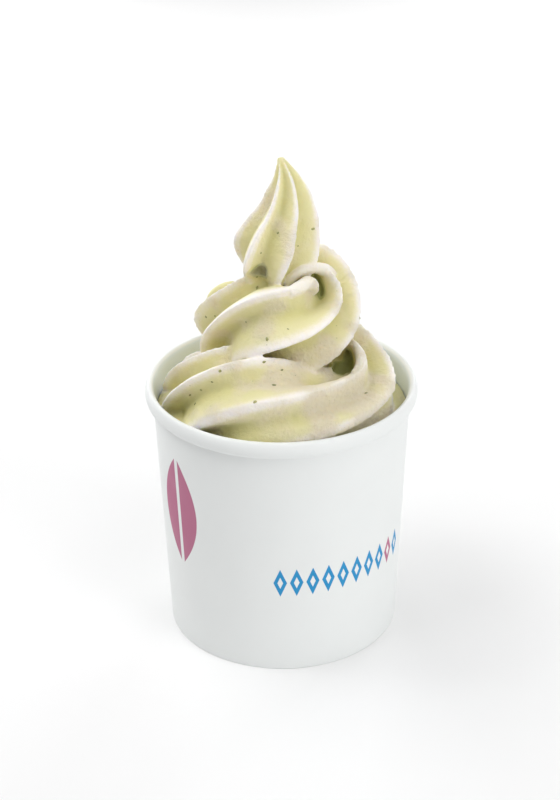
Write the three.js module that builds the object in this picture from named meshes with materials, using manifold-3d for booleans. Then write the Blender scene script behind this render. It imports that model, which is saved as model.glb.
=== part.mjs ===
// Frozen yogurt piped as a ridged swirl in a plain paper tub.
// Millimetres, +Z up, origin at the centre of the tub's foot. The viewer's side is -Y and right is +X.
import * as THREE from 'three';
import { mergeVertices } from 'three/addons/utils/BufferGeometryUtils.js';
import Module from 'manifold-3d';

const wasm = await Module();
wasm.setup();

// Driving dimensions of the tub
const tub = {
  height: 94.8,
  footRadius: 41.5,
  mouthRadius: 45.3,
  paper: 0.7,
  rimRadius: 48,
  rimWidth: 3.3,
  rimHeight: 6.1,
  rimSweep: 300,
  rimSteps: 10,
  footDepth: 7,
  flangeDepth: 6,
  footChamfer: 0.3,
};
const gap = 0.3;
const roundSteps = 64;
const hiddenSteps = 24;
const sealDistance = 1e-4;

// Driving dimensions of the yogurt below the swirl: its crown is [radius, height] from the axis outwards
const fill = {
  crown: [[0, 98], [20, 96], [31, 93], [39, 88]],
  edgeHeight: 85,
};

// The heart of the swirl, hidden inside the coil: [radius, height] from its foot up
const heart = [[26, 88], [25, 96], [16, 100], [11, 108], [9, 120], [6, 128]];

// The rope of yogurt that the star nozzle laid down.
// turns = 0 is at the front, and the rope climbs anticlockwise seen from above.
const rope = {
  ridges: 6,
  grooveDepth: 7.5,
  firstTurn: -0.54,
  lastTurn: 1.7,
  stepDegrees: 10,
  nearestToAxis: 0.4,
  tuck: 0.9,
  tail: { fromTurn: 1.3, coilKept: 0.15, thicknessKept: 0.45 },
};

// Hand piping is uneven, so each measure of the rope sways as it goes round: level + perTurn * turns
// + front * cos(angle) + side * sin(angle) + oval[0] * cos(2 angle) + oval[1] * sin(2 angle),
// where front and side are [value at the first turn, change for each turn].
const sway = {
  coilRadius: { level: 25.8, perTurn: -12.9, front: [3.4, -8], side: [5.5, 0.9], oval: [1.2, 2.3] },
  thickness: { level: 18.3, perTurn: 0.2, front: [0.6, -0.8], side: [-4.1, 0.3], oval: [1.4, 0] },
  height: { level: 91.2, perTurn: 27, front: [5.2, -2.1], side: [-1.6, -0.4], oval: [-0.2, -1.4] },
  twist: { level: 1.9, perTurn: 357.7, front: [43.6, -40.7], side: [1.4, -11.9], oval: [-3.6, -1.3] },
};

// The tip is the end of the rope, drawn straight up:
// outline is [height, radius to the ridge crests, lean to the right]
const tip = {
  outline: [[118, 5, 1], [130, 6.5, 1], [136, 12.6, -1.2], [142, 15, -1.3], [148, 15, -1], [154, 13.1, 0.6],
    [160, 10.2, 2.5], [166, 7.5, 3.1], [172, 4.5, 2.5], [177.6, 1.2, 0.5]],
  ridges: 6,
  grooveShare: 0.42,
  firstCrest: -38,
  twistBelow: -1.5,
  twistHeight: 148,
  steps: 24,
};

// The ridges sag, so from a crest to the next one the groove lies close under the first:
// grooveAt is its share of the way, and points are spread over the steep side and the gentle side.
const ridge = { grooveAt: 0.3, steepPoints: 3, gentlePoints: 5 };

// Folds that thicken the rope, each a soft finger of [right, depth, height, radius] places:
// two where it turns up into the tip, one on its left shoulder and one where it curls over at the right
const folds = {
  steps: 10,
  points: 9,
  places: {
    lap: [[17.6, 6.5, 130.5, 2.6], [15.8, 3.6, 134.4, 2.4], [13.5, 0, 137, 2.1], [10.8, -5, 139.6, 1.9],
      [8, -7, 139.8, 1.8], [5.6, -8, 138.8, 1.7], [3.6, -8.3, 136.7, 1.6], [1.9, -8.5, 134.4, 1.2]],
    finger: [[3, -18, 136.4, 1.6], [5.4, -16.5, 137.2, 2], [7.6, -14.5, 137.4, 2.2], [9.5, -12, 137.2, 2.3],
      [10.9, -10, 135.2, 2.1], [11.7, -8.5, 132.3, 1.5]],
    shoulder: [[-24.8, 7.5, 120.5, 1.6], [-23.3, 6.5, 123.3, 2.3], [-21.1, 5, 126.1, 2.4],
      [-18.5, 3.5, 128.4, 2.2], [-15.8, 2, 130.2, 1.6]],
    curl: [[24.9, 1.5, 107.2, 1], [26.3, -2.1, 107.5, 1.4], [27.1, -6.1, 107.5, 1.7],
      [27.3, -10.2, 107.5, 1.8], [27, -15.4, 107.8, 1.8], [25.8, -20.3, 108.3, 1.5], [24, -23.6, 108.6, 1]],
  },
};

// Three hollows between the folds, each the space of a soft finger of [right, depth, height, radius] places
const hollows = {
  underTip: [[-9.9, -7.4, 139.1, 0.4], [-8.4, -7.2, 139.3, 1.6], [-6.7, -7, 139.6, 2.2],
    [-4.8, -7.2, 139.3, 1.8], [-3.3, -8, 139, 0.4]],
  besideFinger: [[11.5, 2.8, 133.2, 0.6], [12.8, 1.6, 132.2, 1.1], [13.7, 0.2, 130.8, 1.3],
    [14.3, -1.8, 129.6, 1.3], [14.9, -4, 128.4, 1.1], [15.3, -6.5, 127.6, 0.6]],
  underLoop: [[19, -7, 101.7, 0.8], [20.6, -6, 100.7, 2.8], [22.2, -3, 101, 3.6], [23.6, 0, 102.5, 3],
    [24.4, 3, 104.5, 1]],
};

const radians = THREE.MathUtils.degToRad;

function swayed(measure, turns) {
  const angle = turns * 2 * Math.PI;
  const front = measure.front[0] + measure.front[1] * turns;
  const side = measure.side[0] + measure.side[1] * turns;
  return measure.level + measure.perTurn * turns
    + front * Math.cos(angle) + side * Math.sin(angle)
    + measure.oval[0] * Math.cos(2 * angle) + measure.oval[1] * Math.sin(2 * angle);
}

// Points around a star: the angle of each, and its reach, 1 on a crest and less by groove in a groove
function starPoints(ridges, groove) {
  const shares = [];
  for (let point = 0; point < ridge.steepPoints; point += 1) {
    shares.push(ridge.grooveAt * point / ridge.steepPoints);
  }
  for (let point = 0; point < ridge.gentlePoints; point += 1) {
    shares.push(ridge.grooveAt + (1 - ridge.grooveAt) * point / ridge.gentlePoints);
  }
  const points = [];
  for (let crest = 0; crest < ridges; crest += 1) {
    shares.forEach((share) => {
      const steep = share < ridge.grooveAt;
      const climb = steep ? 1 - share / ridge.grooveAt : (share - ridge.grooveAt) / (1 - ridge.grooveAt);
      const rise = steep ? climb * climb : (climb * climb + THREE.MathUtils.smoothstep(climb, 0, 1)) / 2;
      points.push({ round: 360 * (crest + share) / ridges, reach: 1 - groove * (1 - rise) });
    });
  }
  return points;
}

// One closed body through rings of points, with a fan at each end
function loft(rings, ends) {
  const count = rings[0].length;
  const points = [...rings.flat(), ...ends];
  const faces = [];
  for (let ring = 0; ring < rings.length - 1; ring += 1) {
    for (let point = 0; point < count; point += 1) {
      const next = (point + 1) % count;
      const a = ring * count + point;
      const b = ring * count + next;
      faces.push(a, b, b + count, a, b + count, a + count);
    }
  }
  const first = rings.length * count;
  const lastRing = first - count;
  for (let point = 0; point < count; point += 1) {
    const next = (point + 1) % count;
    faces.push(first, next, point);
    faces.push(first + 1, lastRing + point, lastRing + next);
  }
  const geometry = new THREE.BufferGeometry().setFromPoints(points);
  geometry.setIndex(faces);
  return geometry;
}

// A turned body about +Z from a profile of [radius, height] points
function turned(profile, steps = roundSteps) {
  const points = profile.map(([radius, height]) => new THREE.Vector2(radius, height));
  return new THREE.LatheGeometry(points, steps).rotateX(Math.PI / 2);
}

function solid(geometry) {
  const bare = new THREE.BufferGeometry();
  bare.setAttribute('position', geometry.getAttribute('position'));
  bare.setIndex(geometry.getIndex());
  const merged = mergeVertices(bare, sealDistance);
  return new wasm.Manifold(new wasm.Mesh({
    numProp: 3,
    vertProperties: new Float32Array(merged.getAttribute('position').array),
    triVerts: new Uint32Array(merged.getIndex().array),
  }));
}

// Fusing leaves a few sealed pockets and slivers, so only the largest closed shell is kept
function largestShell(faces, pointCount) {
  const owner = Array.from({ length: pointCount }, (_, point) => point);
  const find = (point) => {
    let root = point;
    while (owner[root] !== root) root = owner[root];
    owner[point] = root;
    return root;
  };
  for (let corner = 0; corner < faces.length; corner += 3) {
    owner[find(faces[corner + 1])] = find(faces[corner]);
    owner[find(faces[corner + 2])] = find(faces[corner]);
  }
  const tally = new Map();
  faces.forEach((point) => tally.set(find(point), (tally.get(find(point)) ?? 0) + 1));
  const largest = [...tally].sort((a, b) => b[1] - a[1])[0][0];
  return faces.filter((point) => find(point) === largest);
}

function geometryOf(body) {
  const mesh = body.getMesh();
  const geometry = new THREE.BufferGeometry();
  const faces = largestShell([...mesh.triVerts], mesh.vertProperties.length / 3);
  geometry.setAttribute('position', new THREE.BufferAttribute(mesh.vertProperties, 3));
  geometry.setIndex(faces);
  geometry.computeVertexNormals();
  return geometry;
}

// Outer radius of the paper wall at a height
function wallRadius(height) {
  const mouthHeight = tub.height - tub.rimHeight;
  return tub.footRadius + (tub.mouthRadius - tub.footRadius) * height / mouthHeight;
}

// The side wall: folded in under the base at the foot, rolled outwards over itself at the rim
function cupWall() {
  const rimCentre = [tub.rimRadius - tub.rimWidth / 2, tub.height - tub.rimHeight / 2];
  const rim = [];
  for (let step = 0; step <= tub.rimSteps; step += 1) {
    const angle = radians(180 - tub.rimSweep * step / tub.rimSteps);
    rim.push([
      rimCentre[0] + tub.rimWidth / 2 * Math.cos(angle),
      rimCentre[1] + tub.rimHeight / 2 * Math.sin(angle),
    ]);
  }
  const slotWidth = tub.paper + 2 * gap;
  const foldInner = tub.footRadius - 2 * tub.paper - slotWidth;
  const shoulder = rimCentre[1] - tub.rimHeight / 3;
  const mouthHeight = tub.height - tub.rimHeight;
  const profile = [
    [foldInner, 0],
    [foldInner, tub.flangeDepth],
    [foldInner + tub.paper, tub.flangeDepth],
    [foldInner + tub.paper, tub.paper],
    [wallRadius(tub.paper) - tub.paper, tub.paper],
    [wallRadius(shoulder) - tub.paper, shoulder],
    ...rim,
    [wallRadius(mouthHeight), mouthHeight + tub.paper / 2],
    [tub.footRadius, tub.footChamfer],
    [tub.footRadius - tub.footChamfer, 0],
    [foldInner, 0],
  ];
  return turned(profile.reverse());
}

// The base: a disc with its edge turned down into the fold of the wall
function cupBase() {
  const outer = tub.footRadius - tub.paper - gap;
  const top = tub.footDepth + tub.paper;
  const profile = [
    [0, tub.footDepth],
    [outer - tub.paper, tub.footDepth],
    [outer - tub.paper, tub.paper + gap],
    [outer, tub.paper + gap],
    [outer, top - tub.footChamfer],
    [outer - tub.footChamfer, top],
    [0, top],
  ];
  return turned(profile);
}

// What the yogurt may fill: the inside of the tub, and straight up from its mouth
function roomInside() {
  const low = tub.footDepth + tub.paper + gap;
  const high = 2 * tub.height;
  const mouth = tub.rimRadius - tub.rimWidth - gap;
  return turned([
    [0, low],
    [wallRadius(low) - tub.paper - gap, low],
    [mouth, tub.height - tub.rimHeight],
    [mouth, high],
    [0, high],
  ]);
}

function fillBody() {
  const low = tub.footDepth + tub.paper;
  const crown = [...fill.crown].reverse();
  return turned([[0, low], [tub.rimRadius, low], [tub.rimRadius, fill.edgeHeight], ...crown], hiddenSteps);
}

function heartBody() {
  return turned([[0, heart[0][1]], ...heart, [0, heart[heart.length - 1][1]]], hiddenSteps);
}

// The section of the rope at a place along it, and the middle of that section
function ropeSection(turns, size = 1) {
  const along = THREE.MathUtils.smoothstep(turns, rope.tail.fromTurn, rope.lastTurn);
  const coilRadius = swayed(sway.coilRadius, turns) * THREE.MathUtils.lerp(1, rope.tail.coilKept, along);
  const thickness = swayed(sway.thickness, turns) * THREE.MathUtils.lerp(1, rope.tail.thicknessKept, along);
  const height = swayed(sway.height, turns);
  const twist = swayed(sway.twist, turns);
  const place = (radius, level) => {
    const angle = turns * 2 * Math.PI;
    const reach = Math.max(radius, rope.nearestToAxis);
    return new THREE.Vector3(reach * Math.sin(angle), -reach * Math.cos(angle), level);
  };
  const ring = starPoints(rope.ridges, rope.grooveDepth / thickness).map((point) => {
    const reach = size * thickness * point.reach;
    const angle = radians(twist - point.round);
    return place(coilRadius + reach * Math.cos(angle), height + reach * Math.sin(angle));
  });
  return { ring, middle: place(coilRadius, height) };
}

// The rope from one place to another, less than a full turn, so that the body never crosses itself.
// It runs one step on at each end, a little smaller, so that its ends lie inside the neighbouring parts.
function ropePart(fromTurn, toTurn) {
  const steps = Math.round(360 * (toTurn - fromTurn) / rope.stepDegrees);
  const stride = (toTurn - fromTurn) / steps;
  const sections = [ropeSection(fromTurn - stride, rope.tuck)];
  for (let step = 0; step <= steps; step += 1) {
    sections.push(ropeSection(fromTurn + stride * step));
  }
  sections.push(ropeSection(toTurn + stride, rope.tuck));
  const rings = sections.map((section) => section.ring);
  return loft(rings, [sections[0].middle, sections[sections.length - 1].middle]);
}

// The twisted tip, drawn up to a point
function tipBody() {
  const outline = new THREE.CatmullRomCurve3(tip.outline.map((place) => new THREE.Vector3(...place)));
  const star = starPoints(tip.ridges, tip.grooveShare);
  const rings = [];
  for (let step = 0; step <= tip.steps; step += 1) {
    const { x: height, y: radius, z: lean } = outline.getPoint(step / tip.steps);
    const twist = tip.firstCrest + tip.twistBelow * Math.max(0, tip.twistHeight - height);
    rings.push(star.map((point) => {
      const reach = radius * point.reach;
      const angle = radians(twist + point.round);
      return new THREE.Vector3(lean + reach * Math.sin(angle), -reach * Math.cos(angle), height);
    }));
  }
  const ends = [tip.outline[0], tip.outline[tip.outline.length - 1]];
  return loft(rings, ends.map(([height, , lean]) => new THREE.Vector3(lean, 0, height)));
}

// A soft finger along a smooth line through its places, swelling and thinning with their radii
function foldBody(places) {
  const line = new THREE.CatmullRomCurve3(places.map((place) => new THREE.Vector3(...place)));
  const widths = new THREE.CatmullRomCurve3(places.map((place) => new THREE.Vector3(place[3], 0, 0)));
  const upwards = new THREE.Vector3(0, 0, 1);
  const rings = [];
  for (let step = 0; step <= folds.steps; step += 1) {
    const along = step / folds.steps;
    const middle = line.getPoint(along);
    const width = widths.getPoint(along).x;
    const across = line.getTangent(along).cross(upwards).normalize();
    const over = line.getTangent(along).cross(across).normalize();
    const ring = [];
    for (let point = 0; point < folds.points; point += 1) {
      const angle = radians(360 * point / folds.points);
      ring.push(middle.clone()
        .addScaledVector(across, width * Math.cos(angle))
        .addScaledVector(over, width * Math.sin(angle)));
    }
    rings.push(ring);
  }
  return loft(rings, [line.getPoint(0), line.getPoint(1)]);
}

function frozenYogurt() {
  const parts = 3;
  const share = (rope.lastTurn - rope.firstTurn) / parts;
  let body = solid(fillBody()).add(solid(heartBody()));
  for (let part = 0; part < parts; part += 1) {
    const from = rope.firstTurn + share * part;
    body = body.add(solid(ropePart(from, from + share)));
  }
  body = body.add(solid(tipBody()));
  Object.values(folds.places).forEach((places) => {
    body = body.add(solid(foldBody(places)));
  });
  Object.values(hollows).forEach((places) => {
    body = body.subtract(solid(foldBody(places)));
  });
  return geometryOf(body.intersect(solid(roomInside())));
}

function named(name, geometry, colour, roughness) {
  const material = new THREE.MeshStandardMaterial({ color: colour, roughness, metalness: 0 });
  const mesh = new THREE.Mesh(geometry, material);
  mesh.name = name;
  return mesh;
}

const colours = { paper: 0xf2f2f0, board: 0xeeeeec, pistachio: 0xdcd8b2 };
const cup = new THREE.Group();
cup.add(named('cup_wall', cupWall(), colours.paper, 0.45));
cup.add(named('cup_base', cupBase(), colours.board, 0.6));
cup.add(named('frozen_yogurt', frozenYogurt(), colours.pistachio, 0.5));

export default cup;
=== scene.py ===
import math
import random

import bmesh
import bpy
import numpy as np
from mathutils import Matrix, Vector, noise
from mathutils.bvhtree import BVHTree
from mathutils.kdtree import KDTree


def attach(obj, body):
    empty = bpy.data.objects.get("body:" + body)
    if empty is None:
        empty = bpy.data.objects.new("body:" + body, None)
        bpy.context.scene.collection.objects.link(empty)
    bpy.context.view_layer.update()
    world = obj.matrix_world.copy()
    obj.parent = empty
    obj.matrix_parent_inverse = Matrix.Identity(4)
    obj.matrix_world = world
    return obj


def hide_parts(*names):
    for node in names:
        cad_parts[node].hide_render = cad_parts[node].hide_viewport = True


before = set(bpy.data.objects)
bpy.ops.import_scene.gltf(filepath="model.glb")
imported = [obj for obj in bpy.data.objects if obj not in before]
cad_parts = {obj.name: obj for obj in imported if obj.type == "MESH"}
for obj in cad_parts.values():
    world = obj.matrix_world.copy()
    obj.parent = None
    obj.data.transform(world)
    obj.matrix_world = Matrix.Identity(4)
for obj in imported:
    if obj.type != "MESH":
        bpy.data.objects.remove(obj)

# a tall swirl of frozen yogurt in a round paper tub: +X is to the right, +Y to the back, +Z up
scene = bpy.context.scene
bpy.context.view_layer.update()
mm = 0.001
joinWithin = 1e-7       # points this close together are one, in metres


# camera, fitted to the tub's rim and foot
view = {
    "elevation": 27.867,        # degrees above the horizon
    "roll": -0.602,             # degrees
    "distance": 690.28 * mm,
    "target": (-0.547 * mm, 0.0, 86.3 * mm),
    "focalPixels": 1950.28,     # for a picture 800 pixels high
    "pictureSize": (560, 800),
    "sensor": 36.0,
    "nearest": 0.01,            # metres
}


def makeCamera():
    camera = bpy.data.cameras.new("photoCamera")
    camera.sensor_fit = "VERTICAL"
    camera.sensor_height = view["sensor"]
    camera.lens = view["sensor"] * view["focalPixels"] / view["pictureSize"][1]
    camera.clip_start = view["nearest"]
    rise = math.radians(view["elevation"])
    roll = math.radians(view["roll"])
    back = Vector((0, -math.cos(rise), math.sin(rise)))
    right = Vector((1, 0, 0))
    up = back.cross(right)
    turnedRight = right * math.cos(roll) + up * math.sin(roll)
    turnedUp = up * math.cos(roll) - right * math.sin(roll)
    placed = Matrix((turnedRight, turnedUp, back)).transposed().to_4x4()
    placed.translation = Vector(view["target"]) + back * view["distance"]
    cameraObject = bpy.data.objects.new("photoCamera", camera)
    cameraObject.matrix_world = placed
    scene.collection.objects.link(cameraObject)
    scene.camera = cameraObject
    return placed


cameraPlace = makeCamera()


def rayThrough(x, y):
    # from the camera through a place in the photograph, in its pixels
    width, height = view["pictureSize"]
    across = Vector((x - width / 2, height / 2 - y, -view["focalPixels"]))
    return cameraPlace.translation, (cameraPlace.to_3x3() @ across).normalized()


# mesh helpers
def linked(name, mesh):
    piece = bpy.data.objects.new(name, mesh)
    scene.collection.objects.link(piece)
    return piece


def turnedMesh(name, profile, steps, sharpDegrees):
    # a closed profile of (radius, height) points in mm, turned about +Z
    angles = [2 * math.pi * step / steps for step in range(steps)]
    points = [(r * mm * math.sin(a), -r * mm * math.cos(a), h * mm) for a in angles for r, h in profile]
    count = len(profile)
    faces = []
    for step in range(steps):
        here, there = step * count, (step + 1) % steps * count
        for point in range(count):
            after = (point + 1) % count
            faces.append((here + point, there + point, there + after, here + after))
    mesh = bpy.data.meshes.new(name)
    mesh.from_pydata(points, [], faces)
    joined = bmesh.new()
    joined.from_mesh(mesh)
    bmesh.ops.remove_doubles(joined, verts=joined.verts, dist=joinWithin)
    bmesh.ops.recalc_face_normals(joined, faces=joined.faces)
    joined.to_mesh(mesh)
    joined.free()
    mesh.shade_smooth()
    mesh.set_sharp_from_angle(angle=math.radians(sharpDegrees))
    return mesh


def arc(centre, across, down, start, sweep, steps):
    # points of an oval arc, in degrees, as (radius, height)
    turns = [math.radians(start + sweep * step / steps) for step in range(steps + 1)]
    return [(centre[0] + across * math.cos(a), centre[1] + down * math.sin(a)) for a in turns]


def smoothStep(low, high, value):
    share = np.clip((value - low) / (high - low), 0, 1)
    return share * share * (3 - 2 * share)


# paper tub, in mm and degrees
tub = {
    "height": 94.8,
    "footRadius": 41.5,
    "mouthRadius": 45.3,
    "paper": 0.7,
    "rimRadius": 48.0,
    "rimWidth": 3.3,
    "rimHeight": 6.1,
    "rimSweep": -300,           # from the inner wall over the top
    "rimSteps": 48,
    "wallRings": 5,
    "wallRingsBelow": 1.0,      # how far under the rim the wall's rings end
    "footDepth": 7.0,
    "flangeDepth": 6.0,
    "footRounding": 0.3,
    "roundingSteps": 5,
    "gap": 0.3,
    "steps": 288,
    "sharpDegrees": 40,
}
mouthHeight = tub["height"] - tub["rimHeight"]
widening = tub["mouthRadius"] - tub["footRadius"]


def wallRadius(height):
    return tub["footRadius"] + widening * height / mouthHeight


def wallProfile():
    paper, rounding = tub["paper"], tub["footRounding"]
    centre = (tub["rimRadius"] - tub["rimWidth"] / 2, tub["height"] - tub["rimHeight"] / 2)
    foldInner = tub["footRadius"] - 3 * paper - 2 * tub["gap"]      # three layers of paper with gaps between
    shoulder = centre[1] - tub["rimHeight"] / 3
    rings = tub["wallRings"]
    wallRise = [ring / (rings + 1) * (mouthHeight - tub["wallRingsBelow"]) for ring in range(rings, 0, -1)]
    return [
        (foldInner, 0),
        (foldInner, tub["flangeDepth"]),
        (foldInner + paper, tub["flangeDepth"]),
        (foldInner + paper, paper),
        (wallRadius(paper) - paper, paper),
        (wallRadius(shoulder) - paper, shoulder),
        *arc(centre, tub["rimWidth"] / 2, tub["rimHeight"] / 2, 180, tub["rimSweep"], tub["rimSteps"]),
        (wallRadius(mouthHeight), mouthHeight + paper / 2),
        *[(wallRadius(h), h) for h in wallRise],
        *arc((tub["footRadius"] - rounding, rounding), rounding, rounding, 0, -90, tub["roundingSteps"]),
    ]


def baseProfile():
    paper = tub["paper"]
    outer = tub["footRadius"] - paper - tub["gap"]
    top = tub["footDepth"] + paper
    return [
        (0, tub["footDepth"]),
        (outer - paper, tub["footDepth"]),
        (outer - paper, paper + tub["gap"]),
        (outer, paper + tub["gap"]),
        (outer, top - tub["footRounding"]),
        (outer - tub["footRounding"], top),
        (0, top),
    ]


tubWall = linked("tubWall", turnedMesh("tubWall", wallProfile(), tub["steps"], tub["sharpDegrees"]))
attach(tubWall, "root")
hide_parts("cup_wall")
tubBase = linked("tubBase", turnedMesh("tubBase", baseProfile(), tub["steps"], tub["sharpDegrees"]))
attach(tubBase, "root")
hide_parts("cup_base")
print("tub made")


# the rope of yogurt: turns = 0 is at the front, and it climbs anticlockwise seen from above
rope = {
    "ridges": 6,
    "grooveDepth": 7.5,
    "firstTurn": -0.54,
    "lastTurn": 1.7,
    "stepDegrees": 1.5,
    "pointsPerRidge": 24,
    "nearestToAxis": 0.4,
    "tailFrom": 1.3,
    "tailCoil": 0.15,
    "tailThickness": 0.45,
}
# hand piping is uneven: each measure is level + perTurn * turns, and sways once and twice a turn
sway = {
    "coilRadius": {"level": 25.8, "perTurn": -12.9,
                   "front": (3.4, -8), "side": (5.5, 0.9), "oval": (1.2, 2.3)},
    "thickness": {"level": 18.3, "perTurn": 0.2,
                  "front": (0.6, -0.8), "side": (-4.1, 0.3), "oval": (1.4, 0)},
    "height": {"level": 91.2, "perTurn": 27,
               "front": (5.2, -2.1), "side": (-1.6, -0.4), "oval": (-0.2, -1.4)},
    "twist": {"level": 1.9, "perTurn": 357.7,
              "front": (43.6, -40.7), "side": (1.4, -11.9), "oval": (-3.6, -1.3)},
}
# the tip: (height, radius to the crests, lean to the right)
tip = {
    "outline": [(118, 5, 1), (130, 6.5, 1), (136, 12.6, -1.2), (142, 15, -1.3), (148, 15, -1),
                (154, 13.1, 0.6), (160, 10.2, 2.5), (166, 7.5, 3.1), (172, 4.5, 2.5), (177.6, 1.2, 0.5)],
    "leastRadius": 0.3,
    "ridges": 6,
    "grooveShare": 0.42,
    "firstCrest": -38,
    "twistBelow": -1.5,
    "twistHeight": 148,
    "steps": 120,
    "pointsPerRidge": 20,
}
# the ridges sag: the groove lies close under each crest, at this share of the way to the next crest
grooveAt = 0.3
# folds that thicken the rope where it turns, and hollows between the folds: (right, back, height, radius)
folds = {
    "steps": 40,
    "points": 24,
    "places": {
        "lap": [(17.6, 6.5, 130.5, 2.6), (15.8, 3.6, 134.4, 2.4), (13.5, 0, 137, 2.1), (10.8, -5, 139.6, 1.9),
                (8, -7, 139.8, 1.8), (5.6, -8, 138.8, 1.7), (3.6, -8.3, 136.7, 1.6), (1.9, -8.5, 134.4, 1.2)],
        "finger": [(3, -18, 136.4, 1.6), (5.4, -16.5, 137.2, 2), (7.6, -14.5, 137.4, 2.2),
                   (9.5, -12, 137.2, 2.3), (10.9, -10, 135.2, 2.1), (11.7, -8.5, 132.3, 1.5)],
        "shoulder": [(-24.8, 7.5, 120.5, 1.6), (-23.3, 6.5, 123.3, 2.3), (-21.1, 5, 126.1, 2.4),
                     (-18.5, 3.5, 128.4, 2.2), (-15.8, 2, 130.2, 1.6)],
        "curl": [(24.9, 1.5, 107.2, 1), (26.3, -2.1, 107.5, 1.4), (27.1, -6.1, 107.5, 1.7),
                 (27.3, -10.2, 107.5, 1.8), (27, -15.4, 107.8, 1.8), (25.8, -20.3, 108.3, 1.5),
                 (24, -23.6, 108.6, 1)],
    },
    "hollows": {
        "underTip": [(-9.9, -7.4, 139.1, 0.4), (-8.4, -7.2, 139.3, 1.6), (-6.7, -7, 139.6, 2.2),
                     (-4.8, -7.2, 139.3, 1.8), (-3.3, -8, 139, 0.4)],
        "besideFinger": [(11.5, 2.8, 133.2, 0.6), (12.8, 1.6, 132.2, 1.1), (13.7, 0.2, 130.8, 1.3),
                         (14.3, -1.8, 129.6, 1.3), (14.9, -4, 128.4, 1.1), (15.3, -6.5, 127.6, 0.6)],
        "underLoop": [(17.3, -15, 104.6, 0.6), (19, -12, 103.4, 2.2), (20.6, -7, 101.4, 2.9),
                      (22.2, -3, 101, 3.6), (23.6, 0, 102.5, 3), (24.4, 3, 104.5, 1)],
    },
}
# what fills the tub and the middle of the coil, as (radius, height), and how the bodies are fused, in mm
filling = {
    "crown": [(44.4, 70), (48, 85), (39, 88), (31, 93), (20, 96)],
    "heart": [(26, 88), (25, 96), (16, 100), (11, 108), (9, 120), (6, 128)],
    "steps": 180,
    "gap": 0.12,                # to the tub's wall
    "pressedSoftness": 0.5,
    "voxel": 0.55,
    "smoothing": 5,
    "smoothingShare": 0.5,
    "cut": 78.0,
    "hiddenRings": (60, 40, 20, 8.3),
    "waves": ((7.0, 0.16), (2.4, 0.05)),    # (size, depth) of the surface's unevenness
}
# how far each place is from a crest: 0 on the crest, 1 in the groove, and more in the hollows, which brings
# painted shade into the colour there
ridgeShares = {
    "samples": 6,
    "nearest": 0.1,             # keeps a sample at the place itself from counting without end
    "reach": 3.0,
    "farShare": 0.5,
    "folds": {"lap": 0.14, "finger": 0.12, "shoulder": 0.6, "curl": 0.12},
    # in the hollows the share goes past the groove's, which paints shade there
    "hollow": 1.6,
    "hollowEdge": (0.1, 2.1),
    "shoulderReach": (3.0, 8.0),
    "shoulderLeast": 0.21,      # around the shoulder fold there is no pale crest
    "shoulderSteps": 12,
}


def swayed(name, turns):
    measure = sway[name]
    angle = turns * 2 * math.pi
    front = measure["front"][0] + measure["front"][1] * turns
    side = measure["side"][0] + measure["side"][1] * turns
    return (measure["level"] + measure["perTurn"] * turns
            + front * math.cos(angle) + side * math.sin(angle)
            + measure["oval"][0] * math.cos(2 * angle) + measure["oval"][1] * math.sin(2 * angle))


def starPoints(ridges, pointsPerRidge):
    # the angle of each point of a star, how far it is from its crest to the groove, and how far it has risen
    count = ridges * pointsPerRidge
    rounds = np.arange(count) * 360 / count
    shares = rounds * ridges / 360 % 1
    steep = shares < grooveAt
    climb = np.where(steep, 1 - shares / grooveAt, (shares - grooveAt) / (1 - grooveAt))
    rise = np.where(steep, climb ** 2, (climb ** 2 + smoothStep(0, 1, climb)) / 2)
    return rounds, 1 - climb, rise


def ropeRings():
    steps = round(360 * (rope["lastTurn"] - rope["firstTurn"]) / rope["stepDegrees"])
    rounds, shares, rise = starPoints(rope["ridges"], rope["pointsPerRidge"])
    rings = []
    for turns in np.linspace(rope["firstTurn"], rope["lastTurn"], steps + 1):
        along = float(smoothStep(rope["tailFrom"], rope["lastTurn"], turns))
        coil = swayed("coilRadius", turns) * (1 + (rope["tailCoil"] - 1) * along)
        thickness = swayed("thickness", turns) * (1 + (rope["tailThickness"] - 1) * along)
        reach = thickness - rope["grooveDepth"] * (1 - rise)
        angles = np.radians(swayed("twist", turns) - rounds)
        radius = np.maximum(coil + reach * np.cos(angles), rope["nearestToAxis"])
        place = turns * 2 * math.pi
        height = swayed("height", turns) + reach * np.sin(angles)
        rings.append(np.stack([radius * math.sin(place), -radius * math.cos(place), height], 1))
    return np.array(rings), shares


def smoothLine(places, steps):
    # a smooth line through the places, as rows of their numbers
    points = np.array(places, float)
    padded = np.vstack([2 * points[0] - points[1], points, 2 * points[-1] - points[-2]])
    rows = []
    for step in range(steps + 1):
        along = step / steps * (len(points) - 1)
        at = min(int(along), len(points) - 2)
        share = along - at
        p0, p1, p2, p3 = padded[at:at + 4]
        rows.append(0.5 * (2 * p1 + (p2 - p0) * share + (2 * p0 - 5 * p1 + 4 * p2 - p3) * share ** 2
                           + (3 * p1 - p0 - 3 * p2 + p3) * share ** 3))
    return np.array(rows)


def tipRings():
    rounds, shares, rise = starPoints(tip["ridges"], tip["pointsPerRidge"])
    rings = []
    for height, radius, lean in smoothLine(tip["outline"], tip["steps"]):
        twist = tip["firstCrest"] + tip["twistBelow"] * max(0, tip["twistHeight"] - height)
        reach = max(radius, tip["leastRadius"]) * (1 - tip["grooveShare"] * (1 - rise))
        angles = np.radians(twist + rounds)
        rings.append(np.stack([lean + reach * np.sin(angles), -reach * np.cos(angles),
                               np.full(len(rounds), height)], 1))
    return np.array(rings), shares


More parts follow.
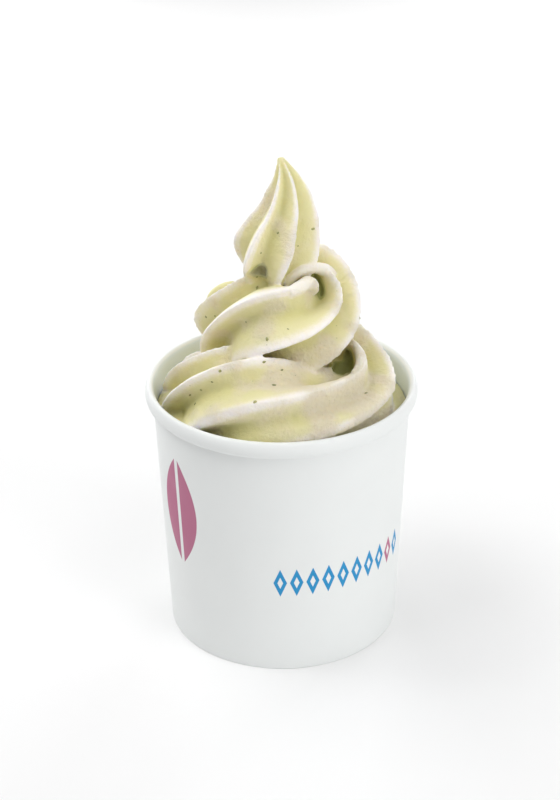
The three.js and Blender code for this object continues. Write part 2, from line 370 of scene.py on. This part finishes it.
def foldRings(places):
    rows = smoothLine(places, folds["steps"])
    angles = np.radians(np.arange(folds["points"]) * 360 / folds["points"])[:, None]
    rings = []
    for step, row in enumerate(rows):
        ahead = rows[min(step + 1, len(rows) - 1)][:3] - rows[max(step - 1, 0)][:3]
        across = np.cross(ahead, (0, 0, 1))
        across /= np.linalg.norm(across)
        over = np.cross(ahead, across)
        over /= np.linalg.norm(over)
        rings.append(row[:3] + row[3] * (np.cos(angles) * across + np.sin(angles) * over))
    return np.array(rings)


def turnedRings(profile):
    steps = filling["steps"]
    angles = np.radians(np.arange(steps) * 360 / steps)
    return np.array([np.stack([r * np.sin(angles), -r * np.cos(angles), np.full(steps, h)], 1)
                     for r, h in profile])


def shellOf(rings):
    # points and faces of a closed shell through rings, with a fan at each end
    rows, count = rings.shape[:2]
    points = np.vstack([rings.reshape(-1, 3), rings[0].mean(0), rings[-1].mean(0)])
    faces = []
    for row in range(rows - 1):
        for point in range(count):
            after = (point + 1) % count
            faces.append((row * count + point, row * count + after,
                          (row + 1) * count + after, (row + 1) * count + point))
    first, last = rows * count, rows * count + 1
    for point in range(count):
        after = (point + 1) % count
        faces.append((first, after, point))
        faces.append((last, (rows - 1) * count + point, (rows - 1) * count + after))
    return points, faces


def pressedIn(points):
    # the tub's wall holds the yogurt in: beyond the wall's radius it is pressed back softly
    radius = np.hypot(points[:, 0], points[:, 1])
    inner = [wallRadius(h) - tub["paper"] for h in points[:, 2]]
    limit = np.minimum(inner, tub["rimRadius"] - tub["rimWidth"]) - filling["gap"]
    softness = filling["pressedSoftness"]
    pressed = radius - softness * np.logaddexp(0, (radius - limit) / softness)
    scale = pressed / np.maximum(radius, joinWithin)
    return points * np.stack([scale, scale, np.ones(len(points))], 1)


def shellsPiece(name, bodies, shaped):
    # one object of several closed shells
    points, faces, start = [], [], 0
    for body in bodies:
        bodyPoints, bodyFaces = shellOf(body)
        points.append(shaped(bodyPoints) * mm)
        faces += [tuple(corner + start for corner in face) for face in bodyFaces]
        start += len(bodyPoints)
    mesh = bpy.data.meshes.new(name)
    mesh.from_pydata(np.vstack(points).tolist(), [], faces)
    return linked(name, mesh)


def appliedMesh(piece, name):
    piece.update_tag()
    bpy.context.view_layer.update()
    seen = piece.evaluated_get(bpy.context.evaluated_depsgraph_get())
    mesh = bpy.data.meshes.new_from_object(seen)
    mesh.name = name
    return mesh


def fusedMesh(bodies, hollows):
    # the bodies as one skin, with the hollows cut out and the joins softened
    piece = shellsPiece("yogurtRough", bodies, pressedIn)
    fused = piece.modifiers.new("fused", "REMESH")
    fused.mode = "VOXEL"
    fused.voxel_size = filling["voxel"] * mm
    spaces = shellsPiece("yogurtSpaces", hollows, np.array)
    carved = piece.modifiers.new("carved", "BOOLEAN")
    carved.operation = "DIFFERENCE"
    carved.solver = "MANIFOLD"
    carved.object = spaces
    soft = piece.modifiers.new("soft", "SMOOTH")
    soft.factor = filling["smoothingShare"]
    soft.iterations = filling["smoothing"]
    mesh = appliedMesh(piece, "yogurtSwirl")
    bpy.data.objects.remove(piece)
    bpy.data.objects.remove(spaces)
    mesh.materials.clear()
    return mesh


def sampleTree(points):
    tree = KDTree(len(points))
    for index, point in enumerate(points):
        tree.insert(point, index)
    tree.balance()
    return tree


def yogurtMesh():
    # the fused mesh, and samples of the ridges and hollows that tell how near its places are to them
    ropeShell, ropeShares = ropeRings()
    tipShell, tipShares = tipRings()
    foldShells = {name: foldRings(places) for name, places in folds["places"].items()}
    hollowShells = [foldRings(places) for places in folds["hollows"].values()]
    plainShells = [turnedRings(filling["crown"]), turnedRings(filling["heart"])]
    mesh = fusedMesh([ropeShell, tipShell, *foldShells.values(), *plainShells], hollowShells)
    crested = [(ropeShell, ropeShares), (tipShell, tipShares)]
    for name, shell in foldShells.items():
        crested.append((shell, np.full(folds["points"], ridgeShares["folds"][name])))
    crestPoints = np.vstack([pressedIn(shell.reshape(-1, 3)) * mm for shell, shares in crested])
    crestShares = np.concatenate([np.tile(shares, len(shell)) for shell, shares in crested]).tolist()
    hollowPoints = np.vstack([shell.reshape(-1, 3) for shell in hollowShells]) * mm
    return mesh, sampleTree(crestPoints), crestShares, sampleTree(hollowPoints)


yogurt, crestSamples, crestShares, hollowSamples = yogurtMesh()
print("yogurt fused:", len(yogurt.vertices), "points")


def cutBelowMouth(body):
    # below the tub's mouth the fused mesh is cut off, and a plain wall runs down to the tub's base
    bmesh.ops.bisect_plane(body, geom=body.verts[:] + body.edges[:] + body.faces[:], dist=joinWithin,
                           plane_co=(0, 0, filling["cut"] * mm), plane_no=(0, 0, 1), clear_inner=True)
    rimEdges = [edge for edge in body.edges if edge.is_boundary]
    for height in filling["hiddenRings"]:
        made = bmesh.ops.extrude_edge_only(body, edges=rimEdges)["geom"]
        ring = [part for part in made if isinstance(part, bmesh.types.BMVert)]
        for point in ring:
            radius = math.hypot(point.co.x, point.co.y)
            scale = (wallRadius(height) - tub["paper"] - filling["gap"]) * mm / radius
            point.co = (point.co.x * scale, point.co.y * scale, height * mm)
        rimEdges = [part for part in made if isinstance(part, bmesh.types.BMEdge)]
    bmesh.ops.holes_fill(body, edges=rimEdges, sides=0)
    bmesh.ops.triangulate(body, faces=[face for face in body.faces if len(face.verts) > 4])
    bmesh.ops.recalc_face_normals(body, faces=body.faces)


# drier patches: all over, and most of all low on the right of the front, in mm
dryness = {
    "patchSize": 8.0,
    "patchFrom": (-0.2, 0.7),
    "patchShare": 0.7,
    "heights": (104.0, 130.0),  # fades out upwards
    "rights": (-18.0, 14.0),    # grows to the right
    "depths": (-24.0, -6.0),    # fades out towards the back
    "lowPatchFrom": (-1.2, 0.3),
    "grain": (1.4, 0.36),       # (size, depth)
}


def dryAt(place):
    x, y, z = place / mm
    patches = noise.noise(place / (dryness["patchSize"] * mm))
    lowRight = (1 - smoothStep(*dryness["depths"], y)) * smoothStep(*dryness["rights"], x)
    lowRight *= 1 - smoothStep(*dryness["heights"], z)
    shared = smoothStep(*dryness["patchFrom"], patches) * dryness["patchShare"]
    return float(min(1, shared + lowRight * smoothStep(*dryness["lowPatchFrom"], patches)))


def roughen(body):
    # soft unevenness of the surface, rougher where it is dry
    cutHeight = filling["cut"] * mm
    for size, depth in filling["waves"]:
        body.normal_update()
        for point in body.verts:
            if point.co.z > cutHeight:
                point.co += point.normal * noise.noise(point.co / (size * mm)) * depth * mm
    body.normal_update()
    size, depth = dryness["grain"]
    dry = [dryAt(point.co) if point.co.z > cutHeight else 0.0 for point in body.verts]
    for point, share in zip(body.verts, dry):
        point.co += point.normal * noise.noise(point.co / (size * mm)) * depth * mm * share
    return dry


def fromCrestAt(place, shoulderLine):
    found = crestSamples.find_n(place, ridgeShares["samples"])
    weights = [1 / (distance + ridgeShares["nearest"] * mm) for near, index, distance in found]
    total = sum(weight * crestShares[index] for weight, (near, index, distance) in zip(weights, found))
    share = total / sum(weights)
    far = min(found[0][2] / (ridgeShares["reach"] * mm), 1)
    share += (ridgeShares["farShare"] - share) * far * far
    fromShoulder = min((place - point).length for point in shoulderLine) / mm
    nearShoulder = 1 - smoothStep(*ridgeShares["shoulderReach"], fromShoulder)
    share += max(0, ridgeShares["shoulderLeast"] - share) * nearShoulder
    # near the hollows the share rises towards the hollow share, which paints shade there
    inHollow = 1 - smoothStep(*ridgeShares["hollowEdge"], hollowSamples.find(place)[2] / mm)
    return share + (ridgeShares["hollow"] - share) * inHollow


def finishYogurt(mesh):
    body = bmesh.new()
    body.from_mesh(mesh)
    cutBelowMouth(body)
    dry = roughen(body)
    body.to_mesh(mesh)
    body.free()
    shoulder = smoothLine(folds["places"]["shoulder"], ridgeShares["shoulderSteps"])
    shoulderLine = [Vector(place[:3]) * mm for place in shoulder]
    fromCrest = [fromCrestAt(point.co, shoulderLine) for point in mesh.vertices]
    mesh.attributes.new("fromCrest", "FLOAT", "POINT").data.foreach_set("value", fromCrest)
    mesh.attributes.new("dryness", "FLOAT", "POINT").data.foreach_set("value", dry)
    mesh.shade_smooth()


finishYogurt(yogurt)
yogurtSwirl = linked("yogurtSwirl", yogurt)
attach(yogurtSwirl, "root")
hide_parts("frozen_yogurt")
print("yogurt finished:", len(yogurt.polygons), "faces")


# dark green flecks in the yogurt's surface
flecks = {
    # (x, y in the photograph, length in mm)
    "seen": [(313, 229, 1.5), (278, 233, 1.2), (257, 288, 1.3), (206, 317, 1.2), (215, 316, 1.0),
             (267, 339, 1.6), (264, 362, 1.3), (220, 371, 1.2), (282, 370, 1.1), (274, 385, 1.5),
             (201, 390, 1.0), (190, 395, 1.3), (195, 404, 1.1), (212, 382, 0.9), (255, 402, 1.4),
             (366, 393, 1.3), (261, 253, 0.8), (298, 246, 0.7), (251, 212, 0.8), (257, 277, 0.7),
             (246, 322, 0.7), (288, 329, 0.8)],
    "triesElsewhere": 120,
    "seed": 7,
    "lengths": (0.5, 1.3),
    "widths": (0.5, 0.8),       # shares of the length
    "thickness": 0.3,           # share of the length
    "heights": (90.0, 172.0),
    "slopes": (-0.2, 1.2),      # how steeply a fleck is dropped towards the axis
    "dropFrom": 0.2,            # metres
    "clearance": 0.2,           # mm
    "turns": (0, 6.28),         # radians
    "wobbles": (0, 50),
    "wobbleScale": 4,
    "wobbleDepth": 0.5,
}


def fleckPoints(tree, chance):
    places = []
    for x, y, length in flecks["seen"]:
        start, direction = rayThrough(x, y)
        place, normal, face, distance = tree.ray_cast(start, direction)
        if place is not None:
            places.append((place, normal, length))
    for drop in range(flecks["triesElsewhere"]):
        side = chance.uniform(0, 2 * math.pi)
        height = chance.uniform(*flecks["heights"]) * mm
        outside = Vector((math.sin(side), -math.cos(side), chance.uniform(*flecks["slopes"]))).normalized()
        start = Vector((0, 0, height)) + outside * flecks["dropFrom"]
        place, normal, face, distance = tree.ray_cast(start, -outside)
        if place is None or place.z < flecks["heights"][0] * mm:
            continue
        toCamera = cameraPlace.translation - place
        above = place + normal * flecks["clearance"] * mm
        inView = normal.dot(toCamera) > 0 and tree.ray_cast(above, toCamera)[0] is None
        if not inView:          # the side in view has the photograph's own
            places.append((place, normal, chance.uniform(*flecks["lengths"])))
    return places


def fleckMesh():
    tree = BVHTree.FromObject(yogurtSwirl, bpy.context.evaluated_depsgraph_get())
    chance = random.Random(flecks["seed"])
    body = bmesh.new()
    for place, normal, length in fleckPoints(tree, chance):
        ball = bmesh.ops.create_icosphere(body, subdivisions=2, radius=0.5)["verts"]     # 1 across
        turned = Matrix.Rotation(chance.uniform(*flecks["turns"]), 4, "Z")
        turn = (normal.to_track_quat("Z", "Y").to_matrix().to_4x4() @ turned).to_3x3()
        shape = Vector((1, chance.uniform(*flecks["widths"]), flecks["thickness"])) * length * mm
        wobble = Vector([chance.uniform(*flecks["wobbles"]) for axis in range(3)])
        for point in ball:
            ragged = 1 + flecks["wobbleDepth"] * noise.noise(point.co * flecks["wobbleScale"] + wobble)
            point.co = place + turn @ (point.co * shape * ragged)
    mesh = bpy.data.meshes.new("yogurtFlecks")
    body.to_mesh(mesh)
    body.free()
    mesh.shade_smooth()
    return mesh


yogurtFlecks = linked("yogurtFlecks", fleckMesh())
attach(yogurtFlecks, "root")
print("flecks placed:", len(yogurtFlecks.data.polygons), "faces")


# shader helpers
middling = (0.3, 0.7)       # most values of a noise lie between these


def newMaterial(name, **values):
    material = bpy.data.materials.new(name)
    material.use_nodes = True
    shader = material.node_tree.nodes["Principled BSDF"]
    for socket, value in values.items():
        shader.inputs[socket.replace("_", " ")].default_value = value
    return material, material.node_tree, shader


def placeNode(tree, kind, settings, inputs):
    # inputs are named or numbered, and each is another node's output or a plain value
    made = tree.nodes.new("ShaderNode" + kind)
    for name, value in settings.items():
        setattr(made, name, value)
    for socket, value in inputs.items():
        if isinstance(value, bpy.types.NodeSocket):
            tree.links.new(value, made.inputs[socket])
        else:
            made.inputs[socket].default_value = value
    return made


def calculate(tree, operation, first, second=0.0, third=0.0):
    return placeNode(tree, "Math", {"operation": operation}, {0: first, 1: second, 2: third}).outputs[0]


def plus(tree, first, second):
    return calculate(tree, "ADD", first, second)


def minus(tree, first, second):
    return calculate(tree, "SUBTRACT", first, second)


def times(tree, first, second):
    return calculate(tree, "MULTIPLY", first, second)


def dividedBy(tree, first, second):
    return calculate(tree, "DIVIDE", first, second)


def absolute(tree, value):
    return calculate(tree, "ABSOLUTE", value)


def mapped(tree, value, low, high, newLow=0.0, newHigh=1.0):
    made = placeNode(tree, "MapRange", {"interpolation_type": "SMOOTHSTEP"},
                     {0: value, 1: low, 2: high, 3: newLow, 4: newHigh})
    return made.outputs[0]


def blendColours(tree, share, first, second):
    # a Mix node keeps its colours in the inputs 6 and 7, and its colour result in the output 2
    return placeNode(tree, "Mix", {"data_type": "RGBA"}, {0: share, 6: first, 7: second}).outputs[2]


def noiseValue(tree, place, size, detail=2.0, roughness=0.5):
    made = placeNode(tree, "TexNoise", {}, {"Vector": place, "Scale": 1 / (size * mm),
                                            "Detail": detail, "Roughness": roughness})
    return made.outputs["Fac"]


def attributeValue(tree, name):
    return placeNode(tree, "Attribute", {"attribute_name": name}, {}).outputs["Fac"]


def addBump(tree, shader, height, strength, distance):
    bump = placeNode(tree, "Bump", {}, {"Height": height, "Strength": strength, "Distance": distance * mm})
    tree.links.new(bump.outputs[0], shader.inputs["Normal"])


def objectPlace(tree):
    return tree.nodes.new("ShaderNodeTexCoord").outputs["Object"]


# yogurt finish, in mm; each noise is (size, detail, roughness)
yogurtLook = {
    # pale crest tone with a painted highlight along each crest
    "crest": (0.95, 0.89, 0.84, 1),
    "flank": (0.82, 0.77, 0.455, 1),
    # olive groove tone with painted shade in the groove under each crest
    "groove": (0.71, 0.665, 0.31, 1),
    # painted shade: dark olive in the hollows between the folds
    "hollowShade": (0.43, 0.45, 0.17, 1),
    "dry": (0.93, 0.83, 0.65, 1),
    "speck": (0.34, 0.34, 0.12, 1),
    "crestBand": (0.07, 0.34),
    "grooveBand": (0.10, 0.95),
    # where the painted shade of the hollows comes in
    "hollowShadeBand": (1.0, 1.5),
    "bandRaggedness": 0.12,
    "dryRaggedness": 0.5,
    "dryMost": 0.8,
    "speckScale": 420.0,
    "speckSize": (0.12, 0.06),
    "speckChance": (0.86, 0.9),
    "speckShare": 0.55,
    "cloud": (9, 3, 0.5),
    "fine": (1.1, 4, 0.6),
    "grain": (0.9, 5, 0.65),
    "ripple": (3.0, 2, 0.5),
    "grainShare": (0.5, 2.5),       # (moist, dry)
    "roughness": (0.42, 0.62),
    "bumpStrength": 1.0,
    "bumpDistance": 0.5,
    "glowWeight": 0.45,
    "glowScale": 3.0,
    "glowReach": (1.0, 0.85, 0.5),
}


def yogurtMaterial():
    look = yogurtLook
    material, tree, shader = newMaterial("frozenYogurt", Subsurface_Weight=look["glowWeight"],
                                         Subsurface_Scale=look["glowScale"] * mm,
                                         Subsurface_Radius=look["glowReach"])
    place = objectPlace(tree)
    cloud = noiseValue(tree, place, *look["cloud"])
    fine = noiseValue(tree, place, *look["fine"])
    # bands from crest to groove with ragged edges, a pale crest tone with a painted highlight and an olive
    # groove tone with painted shade, then painted shade in the hollows and the dry patches
    fromCrest = attributeValue(tree, "fromCrest")
    ragged = calculate(tree, "MULTIPLY_ADD", fine, look["bandRaggedness"],
                       plus(tree, fromCrest, -look["bandRaggedness"] / 2))
    # olive groove tone with painted shade
    colour = blendColours(tree, mapped(tree, ragged, *look["grooveBand"]), look["flank"], look["groove"])
    # pale crest tone with a painted highlight
    colour = blendColours(tree, mapped(tree, ragged, *look["crestBand"], 1.0, 0.0), colour, look["crest"])
    # painted shade in the hollows
    colour = blendColours(tree, mapped(tree, fromCrest, *look["hollowShadeBand"]), colour, look["hollowShade"])
    dry = attributeValue(tree, "dryness")
    brokenUp = calculate(tree, "MULTIPLY_ADD", fine, look["dryRaggedness"],
                         plus(tree, dry, -look["dryRaggedness"] / 2))
    colour = blendColours(tree, mapped(tree, brokenUp, 0.0, 1.0, 0.0, look["dryMost"]), colour, look["dry"])
    # a few small specks
    dots = placeNode(tree, "TexVoronoi", {"feature": "F1"}, {"Vector": place, "Scale": look["speckScale"]})
    picked = placeNode(tree, "SeparateColor", {}, {0: dots.outputs["Color"]}).outputs[0]
    speck = times(tree, mapped(tree, picked, *look["speckChance"]), look["speckShare"])
    speck = times(tree, mapped(tree, dots.outputs["Distance"], *look["speckSize"]), speck)
    colour = blendColours(tree, speck, colour, look["speck"])
    tree.links.new(colour, shader.inputs["Base Color"])
    tree.links.new(mapped(tree, cloud, *middling, *look["roughness"]), shader.inputs["Roughness"])
    grain = noiseValue(tree, place, *look["grain"])
    ripple = noiseValue(tree, place, *look["ripple"])
    grainShare = mapped(tree, dry, 0.0, 1.0, *look["grainShare"])
    height = calculate(tree, "MULTIPLY_ADD", grain, grainShare, ripple)
    addBump(tree, shader, height, look["bumpStrength"], look["bumpDistance"])
    return material


fleckLook = {
    "dark": (0.24, 0.25, 0.09, 1),
    "light": (0.42, 0.42, 0.17, 1),
    "shadeSize": 1.2,
    "shadeBand": (0.35, 0.65),
    "roughness": (0.4, 0.7),
}


def fleckMaterial():
    material, tree, shader = newMaterial("greenFleck")
    shade = noiseValue(tree, objectPlace(tree), fleckLook["shadeSize"])
    lightness = mapped(tree, shade, *fleckLook["shadeBand"])
    colour = blendColours(tree, lightness, fleckLook["dark"], fleckLook["light"])
    tree.links.new(colour, shader.inputs["Base Color"])
    tree.links.new(mapped(tree, shade, *middling, *fleckLook["roughness"]), shader.inputs["Roughness"])
    return material


# coated paper of the tub, in mm; each noise is (size, detail, roughness)
paperLook = {
    "white": (0.87, 0.89, 0.88, 1),
    "shade": (0.84, 0.86, 0.855, 1),
    "inside": (0.80, 0.86, 0.90, 1),
    "cloud": (14, 2, 0.5),
    "fibre": (0.8, 3, 0.6),
    "wallFibre": 0.8,
    "baseFibre": 1.0,
    "roughness": (0.45, 0.58),
    "shine": 0.3,
    "bumpStrength": 0.12,
    "bumpDistance": 0.1,
}


def paperGroup():
    # faint fibre mottling and roughness, used on the wall and the base
    group = bpy.data.node_groups.new("coatedPaper", "ShaderNodeTree")
    group.interface.new_socket(name="Fibre", in_out="INPUT", socket_type="NodeSocketFloat")
    group.interface.new_socket(name="Colour", in_out="OUTPUT", socket_type="NodeSocketColor")
    group.interface.new_socket(name="Roughness", in_out="OUTPUT", socket_type="NodeSocketFloat")
    group.interface.new_socket(name="Height", in_out="OUTPUT", socket_type="NodeSocketFloat")
    source = group.nodes.new("NodeGroupInput").outputs
    result = group.nodes.new("NodeGroupOutput").inputs
    place = objectPlace(group)
    cloud = noiseValue(group, place, *paperLook["cloud"])
    fibre = noiseValue(group, place, *paperLook["fibre"])
    colour = blendColours(group, times(group, cloud, source["Fibre"]), paperLook["white"], paperLook["shade"])
    group.links.new(colour, result["Colour"])
    group.links.new(mapped(group, cloud, *middling, *paperLook["roughness"]), result["Roughness"])
    group.links.new(fibre, result["Height"])
    return group


coatedPaper = paperGroup()


def paperNodes(tree, shader, fibre):
    made = tree.nodes.new("ShaderNodeGroup")
    made.node_tree = coatedPaper
    made.inputs["Fibre"].default_value = fibre
    tree.links.new(made.outputs["Roughness"], shader.inputs["Roughness"])
    addBump(tree, shader, made.outputs["Height"], paperLook["bumpStrength"], paperLook["bumpDistance"])
    return made.outputs["Colour"]


# printed shapes, in mm and in degrees to the right of the front; radius is the wall's there
printLook = {
    "pink": (0.50, 0.16, 0.27, 1),
    "blue": (0.02, 0.29, 0.60, 1),
    "leaf": {"angle": -55.5, "height": 56.0, "radius": 43.5, "length": 44.0, "width": 19.0, "vein": 1.8},
    "row": {"first": -1.5, "last": 67.0, "height": 37.3, "radius": 43.1, "count": 10, "pinkOne": 8,
            "width": 4.6, "tall": 11.0, "open": 0.4, "soft": 0.06},
    "edge": 0.12,
    "insideFrom": (-0.35, -0.3),    # from the wall's outer face
}


def outsideMask(tree, x, y, z):
    radius = calculate(tree, "SQRT", plus(tree, times(tree, x, x), times(tree, y, y)))
    surface = calculate(tree, "MULTIPLY_ADD", z, widening / mouthHeight, tub["footRadius"])
    return mapped(tree, minus(tree, radius, surface), *printLook["insideFrom"])


def leafMask(tree, angle, z):
    # two arcs that meet in a point at each end, with a bare vein
    leaf, edge = printLook["leaf"], printLook["edge"]
    along = dividedBy(tree, minus(tree, z, leaf["height"]), leaf["length"] / 2)
    across = times(tree, minus(tree, angle, math.radians(leaf["angle"])), leaf["radius"])
    half = times(tree, minus(tree, 1.0, times(tree, along, along)), leaf["width"] / 2)
    inLeaf = mapped(tree, minus(tree, half, absolute(tree, across)), -edge, edge)
    vein = leaf["vein"] / 2
    return times(tree, inLeaf, mapped(tree, absolute(tree, across), vein - edge, vein + edge))


def rowMasks(tree, angle, z):
    # open diamonds in a row, and which one is pink
    row = printLook["row"]
    step = math.radians(row["last"] - row["first"]) / (row["count"] - 1)
    counted = dividedBy(tree, minus(tree, angle, math.radians(row["first"])), step)
    nearest = calculate(tree, "ROUND", counted)
    sideways = times(tree, minus(tree, counted, nearest), step * row["radius"] / (row["width"] / 2))
    upwards = dividedBy(tree, minus(tree, z, row["height"]), row["tall"] / 2)
    diamond = plus(tree, absolute(tree, sideways), absolute(tree, upwards))
    outline = minus(tree, mapped(tree, diamond, 1 + row["soft"], 1.0),
                    mapped(tree, diamond, row["open"] + row["soft"], row["open"]))
    inRow = times(tree, calculate(tree, "GREATER_THAN", nearest, -0.5),
                  calculate(tree, "LESS_THAN", nearest, row["count"] - 0.5))
    return times(tree, outline, inRow), calculate(tree, "COMPARE", nearest, row["pinkOne"], 0.5)


def wallMaterial():
    material, tree, shader = newMaterial("printedPaper", Specular_IOR_Level=paperLook["shine"])
    paper = paperNodes(tree, shader, paperLook["wallFibre"])
    split = placeNode(tree, "SeparateXYZ", {}, {"Vector": objectPlace(tree)})
    x, y, z = (times(tree, split.outputs[axis], 1 / mm) for axis in ("X", "Y", "Z"))
    angle = calculate(tree, "ARCTAN2", x, times(tree, y, -1.0))
    outside = outsideMask(tree, x, y, z)
    inRow, isPink = rowMasks(tree, angle, z)
    ink = blendColours(tree, isPink, printLook["blue"], printLook["pink"])
    colour = blendColours(tree, outside, paperLook["inside"], paper)
    colour = blendColours(tree, times(tree, inRow, outside), colour, ink)
    colour = blendColours(tree, times(tree, leafMask(tree, angle, z), outside), colour, printLook["pink"])
    tree.links.new(colour, shader.inputs["Base Color"])
    return material


def baseMaterial():
    material, tree, shader = newMaterial("tubBoard", Specular_IOR_Level=paperLook["shine"])
    tree.links.new(paperNodes(tree, shader, paperLook["baseFibre"]), shader.inputs["Base Color"])
    return material


yogurtSwirl.data.materials.append(yogurtMaterial())
yogurtFlecks.data.materials.append(fleckMaterial())
tubWall.data.materials.append(wallMaterial())
tubBase.data.materials.append(baseMaterial())
print("finishes made")


# floor and light, in metres
studio = {
    "floorRadius": 4.0,
    "floorCorners": 96,
    "floorWhite": (0.87, 0.87, 0.87, 1),
    "floorLighter": (0.89, 0.89, 0.89, 1),
    "floorPatch": 400,          # mm
    "floorRoughness": 0.9,
    "skyColour": (1, 1, 1, 1),
    "sky": 0.24,
    "lampSize": 0.5,
    "lampDistance": 0.9,
    "aim": (0, 0, 0.1),
    # (name, degrees to the right of the viewer, degrees up, watts)
    "lamps": [
        ("frontRight", 35, 60, 1.8),
        ("lowRight", 50, 15, 2.8),
        ("right", 110, 50, 0.5),
        ("backRight", 150, 15, 2.7),
        ("backLeft", -150, 15, 2.5),
        ("left", -110, 50, 2.2),
        ("frontLeft", -70, 60, 2.3),
        ("front", -35, 50, 0.6),
    ],
}


def makeFloor():
    body = bmesh.new()
    bmesh.ops.create_circle(body, cap_ends=True, segments=studio["floorCorners"],
                            radius=studio["floorRadius"])
    mesh = bpy.data.meshes.new("floor")
    body.to_mesh(mesh)
    body.free()
    floor = linked("floor", mesh)
    material, tree, shader = newMaterial("paleFloor", Roughness=studio["floorRoughness"])
    patches = noiseValue(tree, objectPlace(tree), studio["floorPatch"])
    colour = blendColours(tree, patches, studio["floorWhite"], studio["floorLighter"])
    tree.links.new(colour, shader.inputs["Base Color"])
    mesh.materials.append(material)


def makeLights():
    for name, across, up, watts in studio["lamps"]:
        lamp = bpy.data.lights.new(name, "AREA")
        lamp.size = studio["lampSize"]
        lamp.energy = watts
        side, rise = math.radians(across), math.radians(up)
        away = Vector((math.sin(side) * math.cos(rise), -math.cos(side) * math.cos(rise), math.sin(rise)))
        lampObject = linked(name, lamp)
        lampObject.location = Vector(studio["aim"]) + away * studio["lampDistance"]
        lampObject.rotation_euler = away.to_track_quat("Z", "Y").to_euler()
    world = bpy.data.worlds.new("studio")
    world.use_nodes = True
    sky = world.node_tree.nodes["Background"]
    sky.inputs["Color"].default_value = studio["skyColour"]
    sky.inputs["Strength"].default_value = studio["sky"]
    scene.world = world
    scene.view_settings.view_transform = "Standard"


makeFloor()
makeLights()
print("floor and light made")
